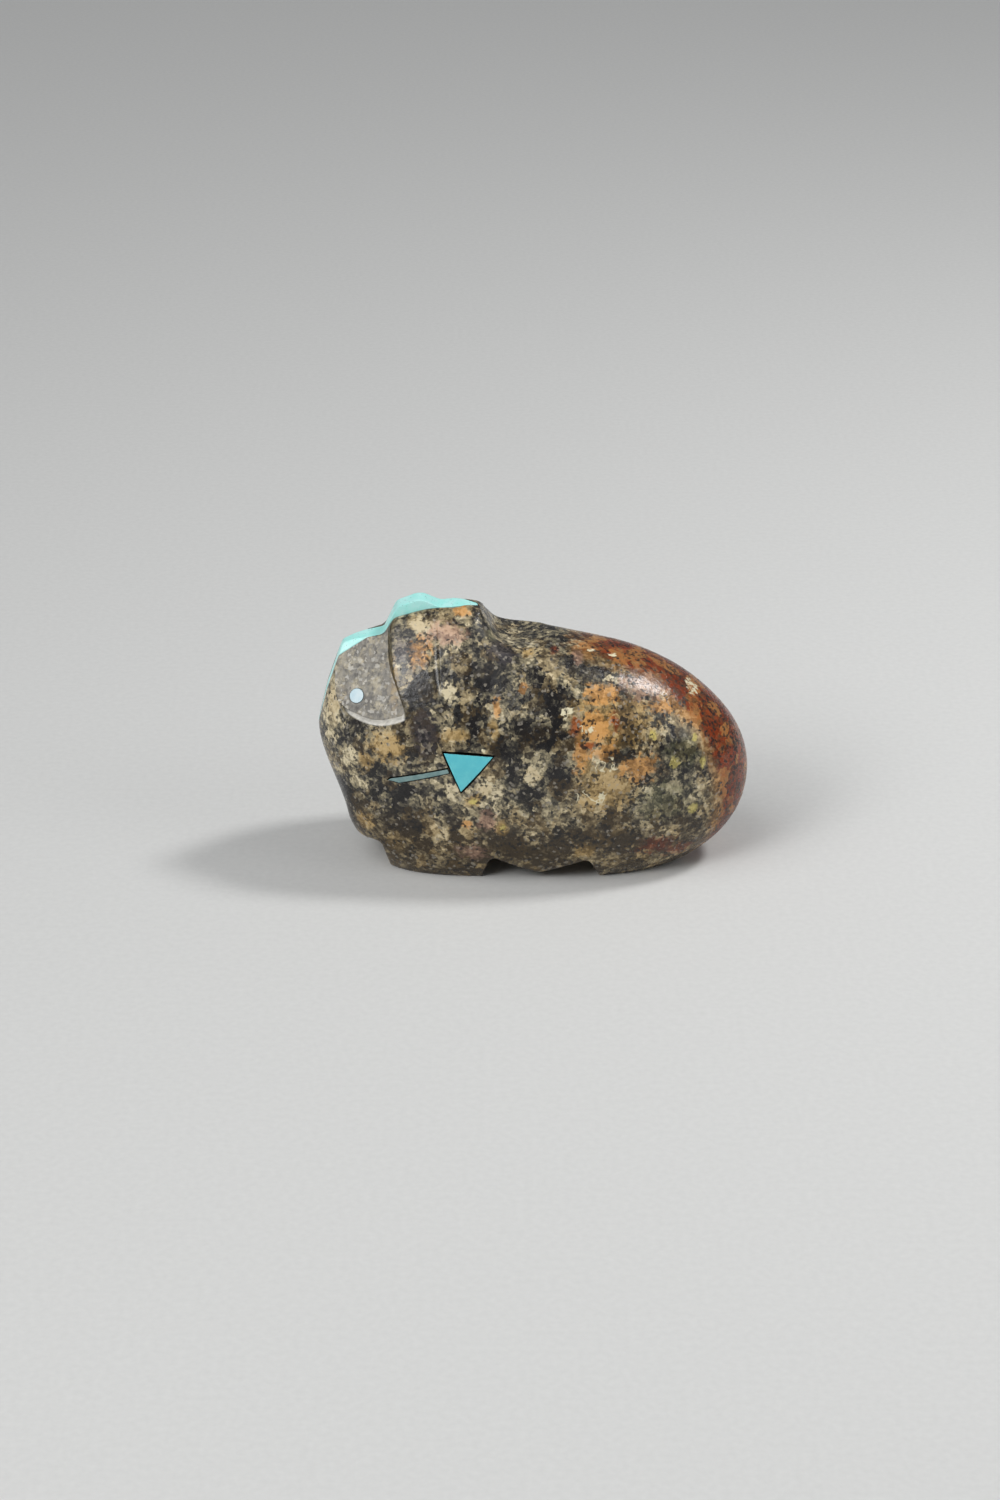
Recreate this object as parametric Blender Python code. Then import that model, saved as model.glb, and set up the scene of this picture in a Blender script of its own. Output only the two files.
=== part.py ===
"""A bison carved from one pebble, facing -X and standing on its feet, with turquoise inlay.

Metres, +Z up. The origin is on the ground, at the centre of the object's box.
Lists of corners and stations are in millimetres, as seen from the left flank: x towards the rump, z up.
"""

import math

import bmesh
import bpy
from mathutils import Matrix, Vector

mm = 0.001

# Driving dimensions of the pebble
HALF_LENGTH = 35.1 * mm
MIDLINE_HEIGHT = 19.0 * mm
MIDLINE_SLOPE = -0.116
SPHERE_SUBDIVISIONS = 5
# Stations along X: place, rise above the midline, drop below it, half width. The sizes are semi-axes: each
# section is drawn in by the taper of an ellipse, which closes the pebble at both ends.
STATIONS = (
    (-35.1, 31.0, 19.0, 15.0),
    (-33.5, 31.0, 21.4, 16.2),
    (-31.0, 31.0, 27.0, 17.2),
    (-30.0, 30.6, 31.4, 17.4),
    (-27.0, 29.0, 32.0, 17.6),
    (-24.0, 27.7, 31.8, 17.5),
    (-20.0, 26.7, 30.4, 17.1),
    (-14.0, 25.5, 27.6, 16.6),
    (-9.0, 24.4, 25.2, 16.4),
    (-2.0, 20.8, 22.8, 16.4),
    (4.0, 19.7, 22.2, 16.7),
    (11.0, 19.9, 22.0, 17.0),
    (18.0, 20.5, 22.0, 17.3),
    (25.0, 20.9, 22.2, 17.7),
    (30.0, 21.0, 22.4, 18.0),
    (35.1, 22.0, 22.7, 18.4),
)
# How full the cross-section is: 2 is an ellipse, less is roof-like, more is boxy
ROOF_POWER = 1.6
BACK_POWER = 2.15
BELLY_POWER = 2.6
ROOF_ENDS_X = -9.0 * mm
BACK_STARTS_X = 2.0 * mm

# The side view of the crest from the nose to the back, as corners (x, z, corner radius)
FOREHEAD = ((-35.1, 23.2, 0.0), (-33.55, 29.4, 8.0), (-30.95, 37.0, 1.2))
CROWN = ((-28.9, 37.9, 3.0), (-24.3, 38.9, 1.2))
STONE_POLL = ((-22.6, 41.7, 1.5), (-16.4, 43.6, 4.0))
TURQUOISE_POLL = ((-22.2, 43.4, 1.6), (-18.3, 44.9, 2.6), (-15.2, 43.5, 2.0))
HUMP = ((-11.8, 43.85, 6.0), (-8.8, 43.3, 0.6))
# The hollow behind the hump
SADDLE = ((-6.2, 38.4, 2.5), (-3.4, 37.6, 4.0), (8.0, 38.4, 0.0))
CREST_BED = (
    (-9.4, 42.2, 0.0),
    (-13.0, 41.2, 1.0),
    (-20.0, 40.6, 1.0),
    (-23.0, 37.4, 1.0),
    (-28.9, 35.0, 1.0),
    (-31.2, 28.8, 6.0),
    (-33.2, 23.4, 0.0),
)
# The slot's open side: past the nose, over the top and past the hump
SLOT_MOUTH = (
    (-33.8, 22.2, 0.0),
    (-42.0, 22.2, 0.0),
    (-42.0, 55.0, 0.0),
    (-8.2, 55.0, 0.0),
    (-8.2, 42.2, 0.0),
)
CREST_HALF_WIDTH = 1.8 * mm
CREST_TIP_HALF_WIDTH = 0.45 * mm
HUMP_TAPER = (-13.0 * mm, -8.6 * mm)
NOSE_TAPER = (30.0 * mm, 23.2 * mm)
TAPER_STEPS = 4

# The flat cut that holds the eye: a point on it, the way it faces, and its outline from the side
FACET_POINT = Vector((-27.0, -1.9, 38.2)) * mm
FACET_NORMAL = Vector((-0.35, -0.78, 0.52)).normalized()
FACET_OUTLINE = (
    (-23.6, 41.5, 0.0),
    (-23.5, 35.2, 8.0),
    (-20.6, 28.7, 0.8),
    (-25.6, 27.0, 7.0),
    (-31.0, 28.3, 4.0),
    (-35.0, 33.0, 0.0),
    (-42.0, 36.0, 0.0),
    (-40.0, 50.0, 0.0),
    (-24.0, 50.0, 0.0),
)
# The cut's walls lean out, so that the ledge below it and the step behind it show
FACET_CUT = Vector((5.0, -20.0, -2.0)) * mm

# Eye
EYE_X, EYE_Z = -28.55 * mm, 30.1 * mm
EYE_RADIUS, EYE_DEPTH, EYE_PROUD = 1.2 * mm, 1.3 * mm, 0.12 * mm
EYE_SIDES = 28
SOCKET_LENGTH = 6.0 * mm

# The groove behind the horn, as (x, z) down the flank
GROOVE_LINE = ((-16.4, 43.2), (-16.3, 40.0), (-16.1, 37.0), (-15.8, 34.5), (-15.2, 32.0))
# The groove fades in and out as half a sine wave; it starts this share into the wave, at the crest
GROOVE_RADIUS, GROOVE_DEPTH, GROOVE_START = 1.1 * mm, 0.5 * mm, 0.12
GROOVE_SEGMENTS, GROOVE_ROUNDNESS = 12, 4

# Underside, as corners (x, z, corner radius): the gaps before and behind the belly, and the throat
BELLY_ARCH = (
    (-8.5, -3.0, 0.0),
    (-8.3, 0.6, 0.0),
    (-7.0, 4.8, 1.0),
    (0.6, 1.0, 1.8),
    (8.8, 4.5, 1.0),
    (10.5, 0.6, 0.0),
    (10.7, -3.0, 0.0),
)
THROAT = (
    (-23.5, -3.0, 0.0),
    (-23.7, 1.2, 0.0),
    (-24.9, 5.8, 1.0),
    (-28.6, 5.0, 1.0),
    (-31.0, 5.8, 0.0),
    (-40.0, 6.5, 0.0),
    (-40.0, -3.0, 0.0),
)

# Heartline
ARROW_CORNERS = ((-14.5, 23.6), (-6.6, 23.3), (-11.75, 17.1))
SHAFT_CORNERS = ((-13.9, 21.0), (-23.0, 18.45), (-23.5, 18.1), (-21.7, 17.85), (-13.6, 20.3))
INLAY_DEPTH = 1.5 * mm

# Clearance round every inlay, and places well outside the pebble
GAP = 0.3 * mm
OUTSIDE_Y = 25.0 * mm
OUTSIDE = 60.0 * mm
SHARP_ANGLE = math.radians(25)
# A corner's arc turns this much from point to point, and takes at most this share of the sides beside it
ARC_STEP = math.radians(18)
ARC_SHARE = 0.48
WELD_DISTANCE = 1e-6


def clear_scene():
    for obj in list(bpy.data.objects):
        bpy.data.objects.remove(obj)


def collection(name):
    made = bpy.data.collections.new(name)
    bpy.context.scene.collection.children.link(made)
    return made


def material(name, colour, roughness, metallic=0.0):
    made = bpy.data.materials.new(name)
    made.use_nodes = True
    shader = made.node_tree.nodes["Principled BSDF"]
    shader.inputs["Base Color"].default_value = (*colour, 1.0)
    shader.inputs["Roughness"].default_value = roughness
    shader.inputs["Metallic"].default_value = metallic
    return made


def smooth_step(start, end, value):
    t = min(1.0, max(0.0, (value - start) / (end - start)))
    return t * t * (3 - 2 * t)


def mix(a, b, share):
    return a + (b - a) * share


def semi_axes(x):
    """Rise, drop and half width at x, on smooth (Hermite) curves through the stations."""
    places = [station[0] * mm for station in STATIONS]
    i = max(0, min(len(places) - 2, sum(x >= place for place in places) - 1))
    span = places[i + 1] - places[i]
    t = (x - places[i]) / span
    found = []
    for k in (1, 2, 3):
        values = [station[k] * mm for station in STATIONS]
        slopes = []
        for j in (i, i + 1):
            low, high = max(0, j - 1), min(len(places) - 1, j + 1)
            slopes.append((values[high] - values[low]) / (places[high] - places[low]) * span)
        found.append(
            values[i] * (1 + 2 * t) * (1 - t) ** 2
            + slopes[0] * t * (1 - t) ** 2
            + values[i + 1] * t * t * (3 - 2 * t)
            + slopes[1] * t * t * (t - 1)
        )
    return found


def section(x):
    """The midline's height, and the section's rise, drop, half width and upper power at x."""
    share = x / HALF_LENGTH
    taper = math.sqrt(max(0.0, 1 - share * share))
    rise, drop, half_width = (size * taper for size in semi_axes(x))
    power = mix(ROOF_POWER, BACK_POWER, smooth_step(ROOF_ENDS_X, BACK_STARTS_X, x))
    return MIDLINE_HEIGHT + MIDLINE_SLOPE * x, rise, drop, half_width, power


def pebble_point(direction):
    """The pebble's surface point for a direction from its middle."""
    x = direction.x * HALF_LENGTH
    height, rise, drop, half_width, upper = section(x)
    around = math.hypot(direction.y, direction.z)
    if around < WELD_DISTANCE:
        return Vector((x, 0.0, height))
    across, up = direction.y / around, direction.z / around
    power = 2 / (upper if up > 0 else BELLY_POWER)
    y = math.copysign(abs(across) ** power, across) * half_width
    z = math.copysign(abs(up) ** power, up) * (rise if up > 0 else drop)
    return Vector((x, y, height + z))


def flank(x, z):
    """How far the pebble's side stands out from the middle plane at (x, z)."""
    height, rise, drop, half_width, upper = section(x)
    up = z - height
    power = upper if up > 0 else BELLY_POWER
    share = abs(up) / (rise if up > 0 else drop)
    return half_width * max(0.0, 1 - share**power) ** (1 / power)


def new_object(name, mesh, home):
    made = bpy.data.objects.new(name, mesh)
    home.objects.link(made)
    return made


def pebble(name, home):
    mesh = bpy.data.meshes.new(name)
    bm = bmesh.new()
    bmesh.ops.create_icosphere(bm, subdivisions=SPHERE_SUBDIVISIONS, radius=1.0)
    for vertex in bm.verts:
        vertex.co = pebble_point(vertex.co.normalized())
    bm.to_mesh(mesh)
    bm.free()
    return new_object(name, mesh, home)


def rounded(corners):
    """The outline through these corners (x, z, radius in mm), with each corner's arc, in metres."""
    points = []
    for i, (x, z, radius) in enumerate(corners):
        corner = Vector((x, z)) * mm
        if radius == 0:
            points.append(corner)
            continue
        before = Vector(corners[i - 1][:2]) * mm - corner
        after = Vector(corners[(i + 1) % len(corners)][:2]) * mm - corner
        half_angle = before.angle(after) / 2
        reach = min(radius * mm / math.tan(half_angle), ARC_SHARE * before.length, ARC_SHARE * after.length)
        arc_radius = reach * math.tan(half_angle)
        bisector = (before.normalized() + after.normalized()).normalized()
        centre = corner + bisector * (arc_radius / math.sin(half_angle))
        start = corner + before.normalized() * reach - centre
        end = corner + after.normalized() * reach - centre
        sweep = start.angle_signed(end)
        steps = max(1, round(abs(sweep) / ARC_STEP))
        for k in range(steps + 1):
            turn = -sweep * k / steps
            cos, sin = math.cos(turn), math.sin(turn)
            points.append(centre + Vector((start.x * cos - start.y * sin, start.x * sin + start.y * cos)))
    return points


def slab(name, outline, low_y, high_y, home):
    """A flat outline in the XZ plane, thick from low_y to high_y, as a mesh."""
    curve = bpy.data.curves.new(name, "CURVE")
    curve.dimensions = "2D"
    curve.fill_mode = "BOTH"
    curve.extrude = (high_y - low_y) / 2
    spline = curve.splines.new("POLY")
    spline.points.add(len(outline) - 1)
    for point, place in zip(spline.points, outline):
        point.co = (place.x, place.y, 0.0, 1.0)
    spline.use_cyclic_u = True
    drawn = bpy.data.objects.new(name + "_outline", curve)
    home.objects.link(drawn)
    drawn.location = (0.0, (low_y + high_y) / 2, 0.0)
    drawn.rotation_euler = (math.radians(90), 0.0, 0.0)
    return meshed(name, drawn, home)


def meshed(name, drawn, home):
    """The drawn curve as a welded mesh object in world space."""
    bpy.context.view_layer.update()
    graph = bpy.context.evaluated_depsgraph_get()
    mesh = bpy.data.meshes.new_from_object(drawn.evaluated_get(graph))
    mesh.name = name
    mesh.transform(drawn.matrix_world)
    bpy.data.objects.remove(drawn)
    bm = bmesh.new()
    bm.from_mesh(mesh)
    bmesh.ops.remove_doubles(bm, verts=bm.verts, dist=WELD_DISTANCE)
    bmesh.ops.recalc_face_normals(bm, faces=bm.faces)
    bm.to_mesh(mesh)
    bm.free()
    return new_object(name, mesh, home)


def ground_cutter(home):
    """A block whose top is the ground."""
    mesh = bpy.data.meshes.new("ground_cutter")
    bm = bmesh.new()
    bmesh.ops.create_cube(bm, size=2 * OUTSIDE)
    bmesh.ops.translate(bm, verts=bm.verts, vec=(0.0, 0.0, -OUTSIDE))
    bm.to_mesh(mesh)
    bm.free()
    return new_object("ground_cutter", mesh, home)


def cylinder(name, middle, axis, radius, length, sides, home):
    mesh = bpy.data.meshes.new(name)
    bm = bmesh.new()
    bmesh.ops.create_cone(bm, cap_ends=True, segments=sides, radius1=radius, radius2=radius, depth=length)
    turn = Vector((0, 0, 1)).rotation_difference(Vector(axis)).to_matrix().to_4x4()
    bm.transform(Matrix.Translation(middle) @ turn)
    bm.to_mesh(mesh)
    bm.free()
    return new_object(name, mesh, home)


def mirrored(name, source, home):
    """The same piece on the other side of the middle plane."""
    mesh = source.data.copy()
    mesh.transform(Matrix.Diagonal((1.0, -1.0, 1.0, 1.0)))
    mesh.flip_normals()
    return new_object(name, mesh, home)


def boolean(obj, other, operation="DIFFERENCE"):
    modifier = obj.modifiers.new(operation.lower(), "BOOLEAN")
    modifier.object = other
    modifier.operation = operation
    modifier.solver = "EXACT"


def finish(obj):
    """Applies the cuts, and shades everything smooth except the cut edges."""
    bpy.context.view_layer.update()
    graph = bpy.context.evaluated_depsgraph_get()
    mesh = bpy.data.meshes.new_from_object(obj.evaluated_get(graph))
    obj.modifiers.clear()
    obj.data = mesh
    mesh.name = obj.name
    mesh.shade_smooth()
    mesh.set_sharp_from_angle(angle=SHARP_ANGLE)


def on_facet(x, z):
    """The point of the eye's flat cut that shows at (x, z) from the side."""
    along = FACET_NORMAL.x * (x - FACET_POINT.x) + FACET_NORMAL.z * (z - FACET_POINT.z)
    return Vector((x, FACET_POINT.y - along / FACET_NORMAL.y, z))


def facet_cutter(home):
    """The block that cuts the flat beside the forehead, its floor on the facet and its walls leaning out."""
    block = slab("facet_cutter_left", rounded(FACET_OUTLINE), -OUTSIDE_Y, 0.0, home)
    for vertex in block.data.vertices:
        floor = on_facet(vertex.co.x, vertex.co.z)
        vertex.co = floor if vertex.co.y > -OUTSIDE_Y / 2 else floor + FACET_CUT
    return block


def groove_cutter(home):
    """A tube laid along the flank that sinks to GROOVE_DEPTH midway and fades out at both ends."""
    curve = bpy.data.curves.new("groove", "CURVE")
    curve.dimensions = "3D"
    curve.bevel_depth = GROOVE_RADIUS
    curve.bevel_resolution = GROOVE_ROUNDNESS
    curve.use_fill_caps = True
    spline = curve.splines.new("POLY")
    spline.points.add(GROOVE_SEGMENTS)
    last = len(GROOVE_LINE) - 1
    for k, point in enumerate(spline.points):
        place = k / GROOVE_SEGMENTS * last
        i = min(int(place), last - 1)
        x, z = (mix(GROOVE_LINE[i][n], GROOVE_LINE[i + 1][n], place - i) * mm for n in (0, 1))
        sink = GROOVE_DEPTH * math.sin(math.pi * mix(GROOVE_START, 1.0, k / GROOVE_SEGMENTS))
        point.co = (x, -flank(x, z) - GROOVE_RADIUS + sink, z, 1.0)
    drawn = bpy.data.objects.new("groove_line", curve)
    home.objects.link(drawn)
    return meshed("groove_cutter_left", drawn, home)


def grown(corners, by):
    """Flat corners moved outwards so that each side stands off by this much."""
    middle = Vector((sum(x for x, z in corners), sum(z for x, z in corners))) / len(corners)
    points = []
    for i, (x, z) in enumerate(corners):
        here = Vector((x, z))
        before = (here - Vector(corners[i - 1])).normalized()
        after = (Vector(corners[(i + 1) % len(corners)]) - here).normalized()
        out_before, out_after = Vector((before.y, -before.x)), Vector((after.y, -after.x))
        if out_before.dot(here - middle) + out_after.dot(here - middle) < 0:
            out_before, out_after = -out_before, -out_after
        spread = out_before + out_after
        points.append(here * mm + spread * (by * 2 / spread.length_squared))
    return points


def flank_prism(name, corners, by, depth, home):
    """A prism through the flank on the camera's side, from outside to depth under the surface."""
    outline = grown(corners, by)
    bed = min(flank(point.x, point.y) for point in outline) - depth
    return slab(name, outline, -OUTSIDE_Y, -bed, home)


def crest_half_width(x, z):
    width = mix(CREST_HALF_WIDTH, CREST_TIP_HALF_WIDTH, smooth_step(*HUMP_TAPER, x))
    return min(width, mix(CREST_HALF_WIDTH, CREST_TIP_HALF_WIDTH, smooth_step(*NOSE_TAPER, z)))


def narrow_to_tips(obj, gap):
    """Draws a slab's two faces in towards its tips at the nose and the hump."""
    bm = bmesh.new()
    bm.from_mesh(obj.data)
    cuts = [((mix(*HUMP_TAPER, k / TAPER_STEPS), 0, 0), (1, 0, 0)) for k in range(TAPER_STEPS)]
    cuts += [((0, 0, mix(*NOSE_TAPER, k / TAPER_STEPS)), (0, 0, 1)) for k in range(TAPER_STEPS)]
    for place, normal in cuts:
        bmesh.ops.bisect_plane(bm, geom=[*bm.verts, *bm.edges, *bm.faces], plane_co=place, plane_no=normal)
    for vertex in bm.verts:
        vertex.co.y = math.copysign(crest_half_width(vertex.co.x, vertex.co.z) + gap, vertex.co.y)
    bm.to_mesh(obj.data)
    bm.free()


def crest_slot(home):
    """The slot for the crest inlay, open above, with a gap all round the slab."""
    bed = [(x + GAP / mm, z - GAP / mm, radius) for x, z, radius in CREST_BED]
    slot = slab("crest_slot", rounded((*bed, *SLOT_MOUTH)), -CREST_HALF_WIDTH, CREST_HALF_WIDTH, home)
    narrow_to_tips(slot, GAP)
    return slot


def carve(body, home):
    """All the cuts that shape the animal, in the order a carver would make them."""
    crest = (*FOREHEAD, *CROWN, *STONE_POLL, *HUMP, *SADDLE)
    profile = ((-45.0, 23.2, 0.0), *crest, (8.0, 60.0, 0.0), (-45.0, 60.0, 0.0))
    facet = facet_cutter(home)
    groove = groove_cutter(home)
    for cutter in (
        slab("crest_cutter", rounded(profile), -OUTSIDE_Y, OUTSIDE_Y, home),
        facet,
        mirrored("facet_cutter_right", facet, home),
        groove,
        mirrored("groove_cutter_right", groove, home),
        slab("throat_cutter", rounded(THROAT), -OUTSIDE_Y, OUTSIDE_Y, home),
        slab("belly_cutter", rounded(BELLY_ARCH), -OUTSIDE_Y, OUTSIDE_Y, home),
        ground_cutter(home),
    ):
        boolean(body, cutter)


def crest_inlay(home, surface):
    outline = rounded((*FOREHEAD, *CROWN, *TURQUOISE_POLL, *HUMP, *CREST_BED))
    crest = slab("crest_inlay", outline, -CREST_HALF_WIDTH, CREST_HALF_WIDTH, home)
    narrow_to_tips(crest, 0.0)
    crest.data.materials.append(surface)
    for side in ("left", "right"):
        boolean(crest, bpy.data.objects["facet_cutter_" + side])


def eyes(stone, parts, helpers, surface):
    """A round inlay standing on each facet, and the hole that holds it."""
    place = on_facet(EYE_X, EYE_Z)
    inlay_middle = place + FACET_NORMAL * (EYE_PROUD - EYE_DEPTH / 2)
    socket_middle = place + FACET_NORMAL * (SOCKET_LENGTH / 2 - EYE_DEPTH - GAP)
    eye = cylinder("eye_left", inlay_middle, FACET_NORMAL, EYE_RADIUS, EYE_DEPTH, EYE_SIDES, parts)
    eye.data.materials.append(surface)
    mirrored("eye_right", eye, parts)
    socket = cylinder(
        "eye_socket_left", socket_middle, FACET_NORMAL, EYE_RADIUS + GAP, SOCKET_LENGTH, EYE_SIDES, helpers
    )
    boolean(stone, socket)
    boolean(stone, mirrored("eye_socket_right", socket, helpers))


def heartline(stone, parts, helpers, surface):
    """The arrowhead and its shaft, each cut to the pebble's own surface, and their sockets."""
    skin = pebble("flank_surface", helpers)
    for name, corners in (("heartline_arrowhead", ARROW_CORNERS), ("heartline_shaft", SHAFT_CORNERS)):
        inlay = flank_prism(name, corners, 0.0, INLAY_DEPTH, parts)
        inlay.data.materials.append(surface)
        boolean(inlay, skin, "INTERSECT")
        boolean(stone, flank_prism(name + "_socket", corners, GAP, INLAY_DEPTH + GAP, helpers))


def main():
    clear_scene()
    parts = collection("carved_bison")
    helpers = collection("cutters")
    granite = material("speckled_stone", (0.22, 0.17, 0.12), 0.25)
    turquoise = material("turquoise", (0.10, 0.50, 0.48), 0.3)
    pale_turquoise = material("pale_turquoise", (0.45, 0.62, 0.66), 0.2)

    stone = pebble("stone_body", parts)
    stone.data.materials.append(granite)
    carve(stone, helpers)
    boolean(stone, crest_slot(helpers))
    crest_inlay(parts, turquoise)
    eyes(stone, parts, helpers, pale_turquoise)
    heartline(stone, parts, helpers, turquoise)

    for obj in parts.objects:
        finish(obj)
    for obj in helpers.objects:
        obj.hide_render = True
        obj.display_type = "WIRE"


main()
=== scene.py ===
# %% [markdown]
# # A bison carved from one pebble
# The real thing is a carving as long as a thumb, cut from a stream pebble of speckled granite. A crest of
# turquoise runs from the nose to the hump, each eye is a round inlay, and an arrow is let into the left
# flank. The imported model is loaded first, because it fixes every size and place.

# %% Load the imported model
import math

import bmesh
import bpy
import numpy as np
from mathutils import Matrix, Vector


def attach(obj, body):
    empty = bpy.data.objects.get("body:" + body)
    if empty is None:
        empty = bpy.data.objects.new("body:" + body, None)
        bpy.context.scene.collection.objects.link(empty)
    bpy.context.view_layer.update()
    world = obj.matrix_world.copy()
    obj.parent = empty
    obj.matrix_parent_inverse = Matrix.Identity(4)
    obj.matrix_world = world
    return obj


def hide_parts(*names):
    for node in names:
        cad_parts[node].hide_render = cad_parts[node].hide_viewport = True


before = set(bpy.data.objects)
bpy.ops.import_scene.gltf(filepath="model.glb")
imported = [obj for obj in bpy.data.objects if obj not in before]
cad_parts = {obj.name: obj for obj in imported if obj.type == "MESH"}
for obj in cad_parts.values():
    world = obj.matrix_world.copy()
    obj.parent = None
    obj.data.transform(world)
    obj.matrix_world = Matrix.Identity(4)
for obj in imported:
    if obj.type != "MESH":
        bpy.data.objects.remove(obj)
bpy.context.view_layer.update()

mm = 0.001
print("nodes:", ", ".join(sorted(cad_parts)))

# %% [markdown]
# ## The camera
# The photograph looks at the left flank from a little above, through a long lens, so that near and far parts
# keep almost the same scale. A camera far away with a narrow view does the same here.

# %% Place the camera
CAMERA_AIM = Vector((-5.5, 0.0, 17.6)) * mm
CAMERA_DISTANCE = 581 * mm
CAMERA_HEIGHT_ANGLE = math.radians(24)
FOCAL_LENGTH, SENSOR_HEIGHT = 85, 36
NEAREST_SEEN, FURTHEST_SEEN = 0.01, 10


def place_camera():
    rise = math.sin(CAMERA_HEIGHT_ANGLE)
    back = math.cos(CAMERA_HEIGHT_ANGLE)
    bpy.ops.object.camera_add(
        location=CAMERA_AIM + Vector((0, -back, rise)) * CAMERA_DISTANCE,
        rotation=(math.radians(90) - CAMERA_HEIGHT_ANGLE, 0, 0),
    )
    camera = bpy.context.object
    camera.data.lens = FOCAL_LENGTH
    camera.data.sensor_fit = "VERTICAL"
    camera.data.sensor_height = SENSOR_HEIGHT
    camera.data.clip_start = NEAREST_SEEN
    camera.data.clip_end = FURTHEST_SEEN
    bpy.context.scene.camera = camera


place_camera()
print("camera at", [round(value, 3) for value in bpy.context.scene.camera.location])

# %% [markdown]
# ## Small tools for the workshop
# An operator works on whatever is selected, so each step starts by selecting one piece alone. Modifiers are
# tried out first and then applied, which leaves a plain mesh that the next step can cut again.

# %% Selecting, applying and cutting
# How closely a face has to face a direction: the least cosine of the angle between them
FACES_THAT_WAY = 0.5


def only(piece):
    """Makes this piece the one selected and active object."""
    bpy.ops.object.select_all(action="DESELECT")
    piece.select_set(True)
    bpy.context.view_layer.objects.active = piece


def edit(piece):
    """Opens a piece in edit mode with all of it selected."""
    only(piece)
    bpy.ops.object.mode_set(mode="EDIT")
    bpy.ops.mesh.select_all(action="SELECT")


def close():
    bpy.ops.object.mode_set(mode="OBJECT")


def select_facing(piece, direction, at_least=FACES_THAT_WAY):
    """Opens a piece in edit mode with only the faces selected that face this way."""
    edit(piece)
    bpy.ops.mesh.select_all(action="DESELECT")
    drawn = bmesh.from_edit_mesh(piece.data)
    drawn.normal_update()
    for face in drawn.faces:
        face.select_set(face.normal.dot(direction) > at_least)
    bmesh.update_edit_mesh(piece.data)


def modify(piece, kind, **settings):
    """Adds a modifier with these settings and applies it."""
    only(piece)
    modifier = piece.modifiers.new(kind.title(), kind)
    for name, value in settings.items():
        setattr(modifier, name, value)
    bpy.ops.object.modifier_apply(modifier=modifier.name)


def cut(piece, cutter):
    """Takes the cutter's shape out of the piece, and then removes the cutter."""
    modify(piece, "BOOLEAN", object=cutter, operation="DIFFERENCE", solver="EXACT", material_mode="TRANSFER")
    bpy.data.objects.remove(cutter)


def count(piece):
    piece.data.calc_loop_triangles()
    return f"{piece.name}: {len(piece.data.loop_triangles)} triangles"


print("tools ready")

# %% [markdown]
# ## The pebble
# A water-worn pebble has no flat place, but it isn't an egg either: this one has a high shoulder where the
# hump will be, a lower back and a full belly. A sphere of many small triangles is drawn out to those sizes.
# Along the length a few stations say how far the surface rises, drops and spreads, and a smooth curve joins
# them. Each cross-section is an oval with a power: a low one makes it roof-like near the head, and a high one
# boxy under the belly.

# %% Sizes of the pebble
HALF_LENGTH = 35.1
MIDLINE_HEIGHT, MIDLINE_SLOPE = 19.0, -0.116
# (x, rise above the midline, drop below it, half width) in mm, before the two ends are rounded off
STATIONS = np.array(
    (
        (-35.1, 31.0, 19.0, 15.0),
        (-33.5, 31.0, 21.4, 16.2),
        (-31.0, 31.0, 27.0, 17.2),
        (-30.0, 30.6, 31.4, 17.4),
        (-27.0, 29.0, 32.0, 17.6),
        (-24.0, 27.7, 31.8, 17.5),
        (-20.0, 26.7, 30.4, 17.1),
        (-14.0, 25.5, 27.6, 16.6),
        (-9.0, 24.4, 25.2, 16.4),
        (-2.0, 20.8, 22.8, 16.4),
        (4.0, 19.7, 22.2, 16.7),
        (11.0, 19.9, 22.0, 17.0),
        (18.0, 20.5, 22.0, 17.3),
        (25.0, 20.9, 22.2, 17.7),
        (30.0, 21.0, 22.4, 18.0),
        (35.1, 22.0, 22.7, 18.4),
    )
)
ROOF_POWER, BACK_POWER, BELLY_POWER = 1.6, 2.15, 2.6
ROOF_ENDS_X, BACK_STARTS_X = -9.0, 2.0
# Keeps a division safe where the pebble ends in a point
TINY = 1e-9


def smooth_step(start, end, value):
    share = np.clip((value - start) / (end - start), 0, 1)
    return share * share * (3 - 2 * share)


def section(x):
    """For places x in mm: midline height, rise, drop, half width and the upper power."""
    x = np.asarray(x, float)
    places = STATIONS[:, 0]
    slopes = np.gradient(STATIONS[:, 1:], places, axis=0, edge_order=1)
    spans = np.diff(places)
    # An inner station has the slope of the line through its two neighbours
    for k in range(1, len(places) - 1):
        slopes[k] = (STATIONS[k + 1, 1:] - STATIONS[k - 1, 1:]) / (spans[k] + spans[k - 1])
    i = np.clip(np.searchsorted(places, x, side="right") - 1, 0, len(places) - 2)
    span = spans[i]
    t = ((x - places[i]) / span)[..., None]
    sizes = (
        STATIONS[i, 1:] * (1 + 2 * t) * (1 - t) ** 2
        + slopes[i] * span[..., None] * t * (1 - t) ** 2
        + STATIONS[i + 1, 1:] * t * t * (3 - 2 * t)
        + slopes[i + 1] * span[..., None] * t * t * (t - 1)
    )
    taper = np.sqrt(np.maximum(0, 1 - (x / HALF_LENGTH) ** 2))[..., None]
    rise, drop, half_width = np.moveaxis(sizes * taper, -1, 0)
    power = ROOF_POWER + (BACK_POWER - ROOF_POWER) * smooth_step(ROOF_ENDS_X, BACK_STARTS_X, x)
    return MIDLINE_HEIGHT + MIDLINE_SLOPE * x, rise, drop, half_width, power


def flank(x, z):
    """How far the pebble's side stands out from the middle at (x, z), in mm."""
    height, rise, drop, half_width, upper = section(x)
    up = z - height
    power = np.where(up > 0, upper, BELLY_POWER)
    share = np.abs(up) / np.where(up > 0, rise, drop)
    return half_width * np.maximum(0, 1 - share**power) ** (1 / power)


print("half width beside the arrow:", round(float(flank(-11.0, 21.0)), 2), "mm")

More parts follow.
